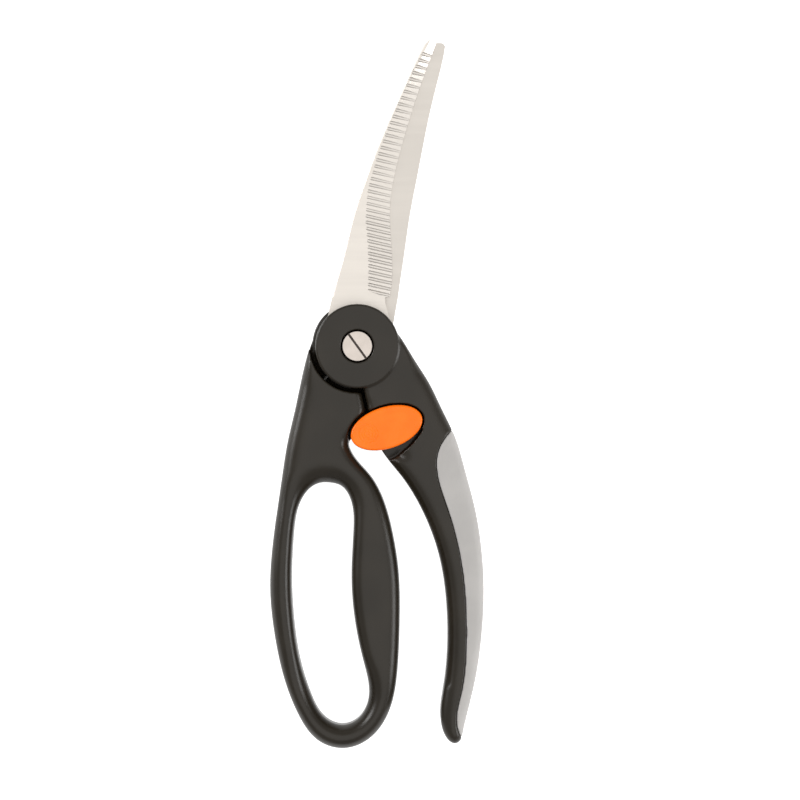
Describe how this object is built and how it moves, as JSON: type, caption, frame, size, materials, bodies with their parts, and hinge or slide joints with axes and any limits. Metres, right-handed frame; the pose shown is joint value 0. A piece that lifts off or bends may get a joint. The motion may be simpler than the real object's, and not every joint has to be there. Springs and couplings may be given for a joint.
{
  "type": "poultry shears",
  "caption": "Poultry shears with ribbed curved blades, a closed finger loop, a padded lever, an oval thumb lock and an opening spring round the pivot.",
  "frame": {"origin": "on the pivot axis, in the plane of the rear boss's flat face that the shears rest on", "axes": "+Z along the pivot axis from the rear boss to the screw head, +Y out along the closed blades to the tip, +X towards the padded lever"},
  "size_m": [0.0753, 0.25, 0.02],
  "materials": {
    "black_plastic": "fine satin moulding texture",
    "grey_rubber": "matt soft elastomer",
    "orange_plastic": "smooth moulded",
    "blade_steel": "satin ground stainless",
    "screw_steel": "turned",
    "spring_steel": "drawn wire",
    "bush_plastic": "natural nylon"
  },
  "bodies": {
    "loop_half": {"loop_handle": "black_plastic", "rear_blade": "blade_steel", "pivot_screw": "screw_steel", "pivot_nut": "screw_steel", "spring_washer": "spring_steel", "catch_pin": "screw_steel", "opening_spring": "spring_steel"},
    "lever_half": {"lever_handle": "black_plastic", "soft_grip": "grey_rubber", "front_blade": "blade_steel", "pivot_bush": "bush_plastic", "detent_ball": "screw_steel", "detent_spring": "spring_steel"},
    "lock": {"lock_button": "orange_plastic", "lock_hook": "screw_steel", "lock_screw": "screw_steel"}
  },
  "joints": [
    {"name": "pivot", "type": "hinge", "parent": "loop_half", "child": "lever_half", "pos_m": [0, 0, 0.01], "axis": [0, 0, 1], "range_deg": [0, 35], "deforming": ["opening_spring"]},
    {"name": "lock", "type": "hinge", "parent": "lever_half", "child": "lock", "pos_m": [0.01934, -0.02571, 0.0165], "axis": [0, 0, 1], "range_deg": [0, 8]}
  ]
}
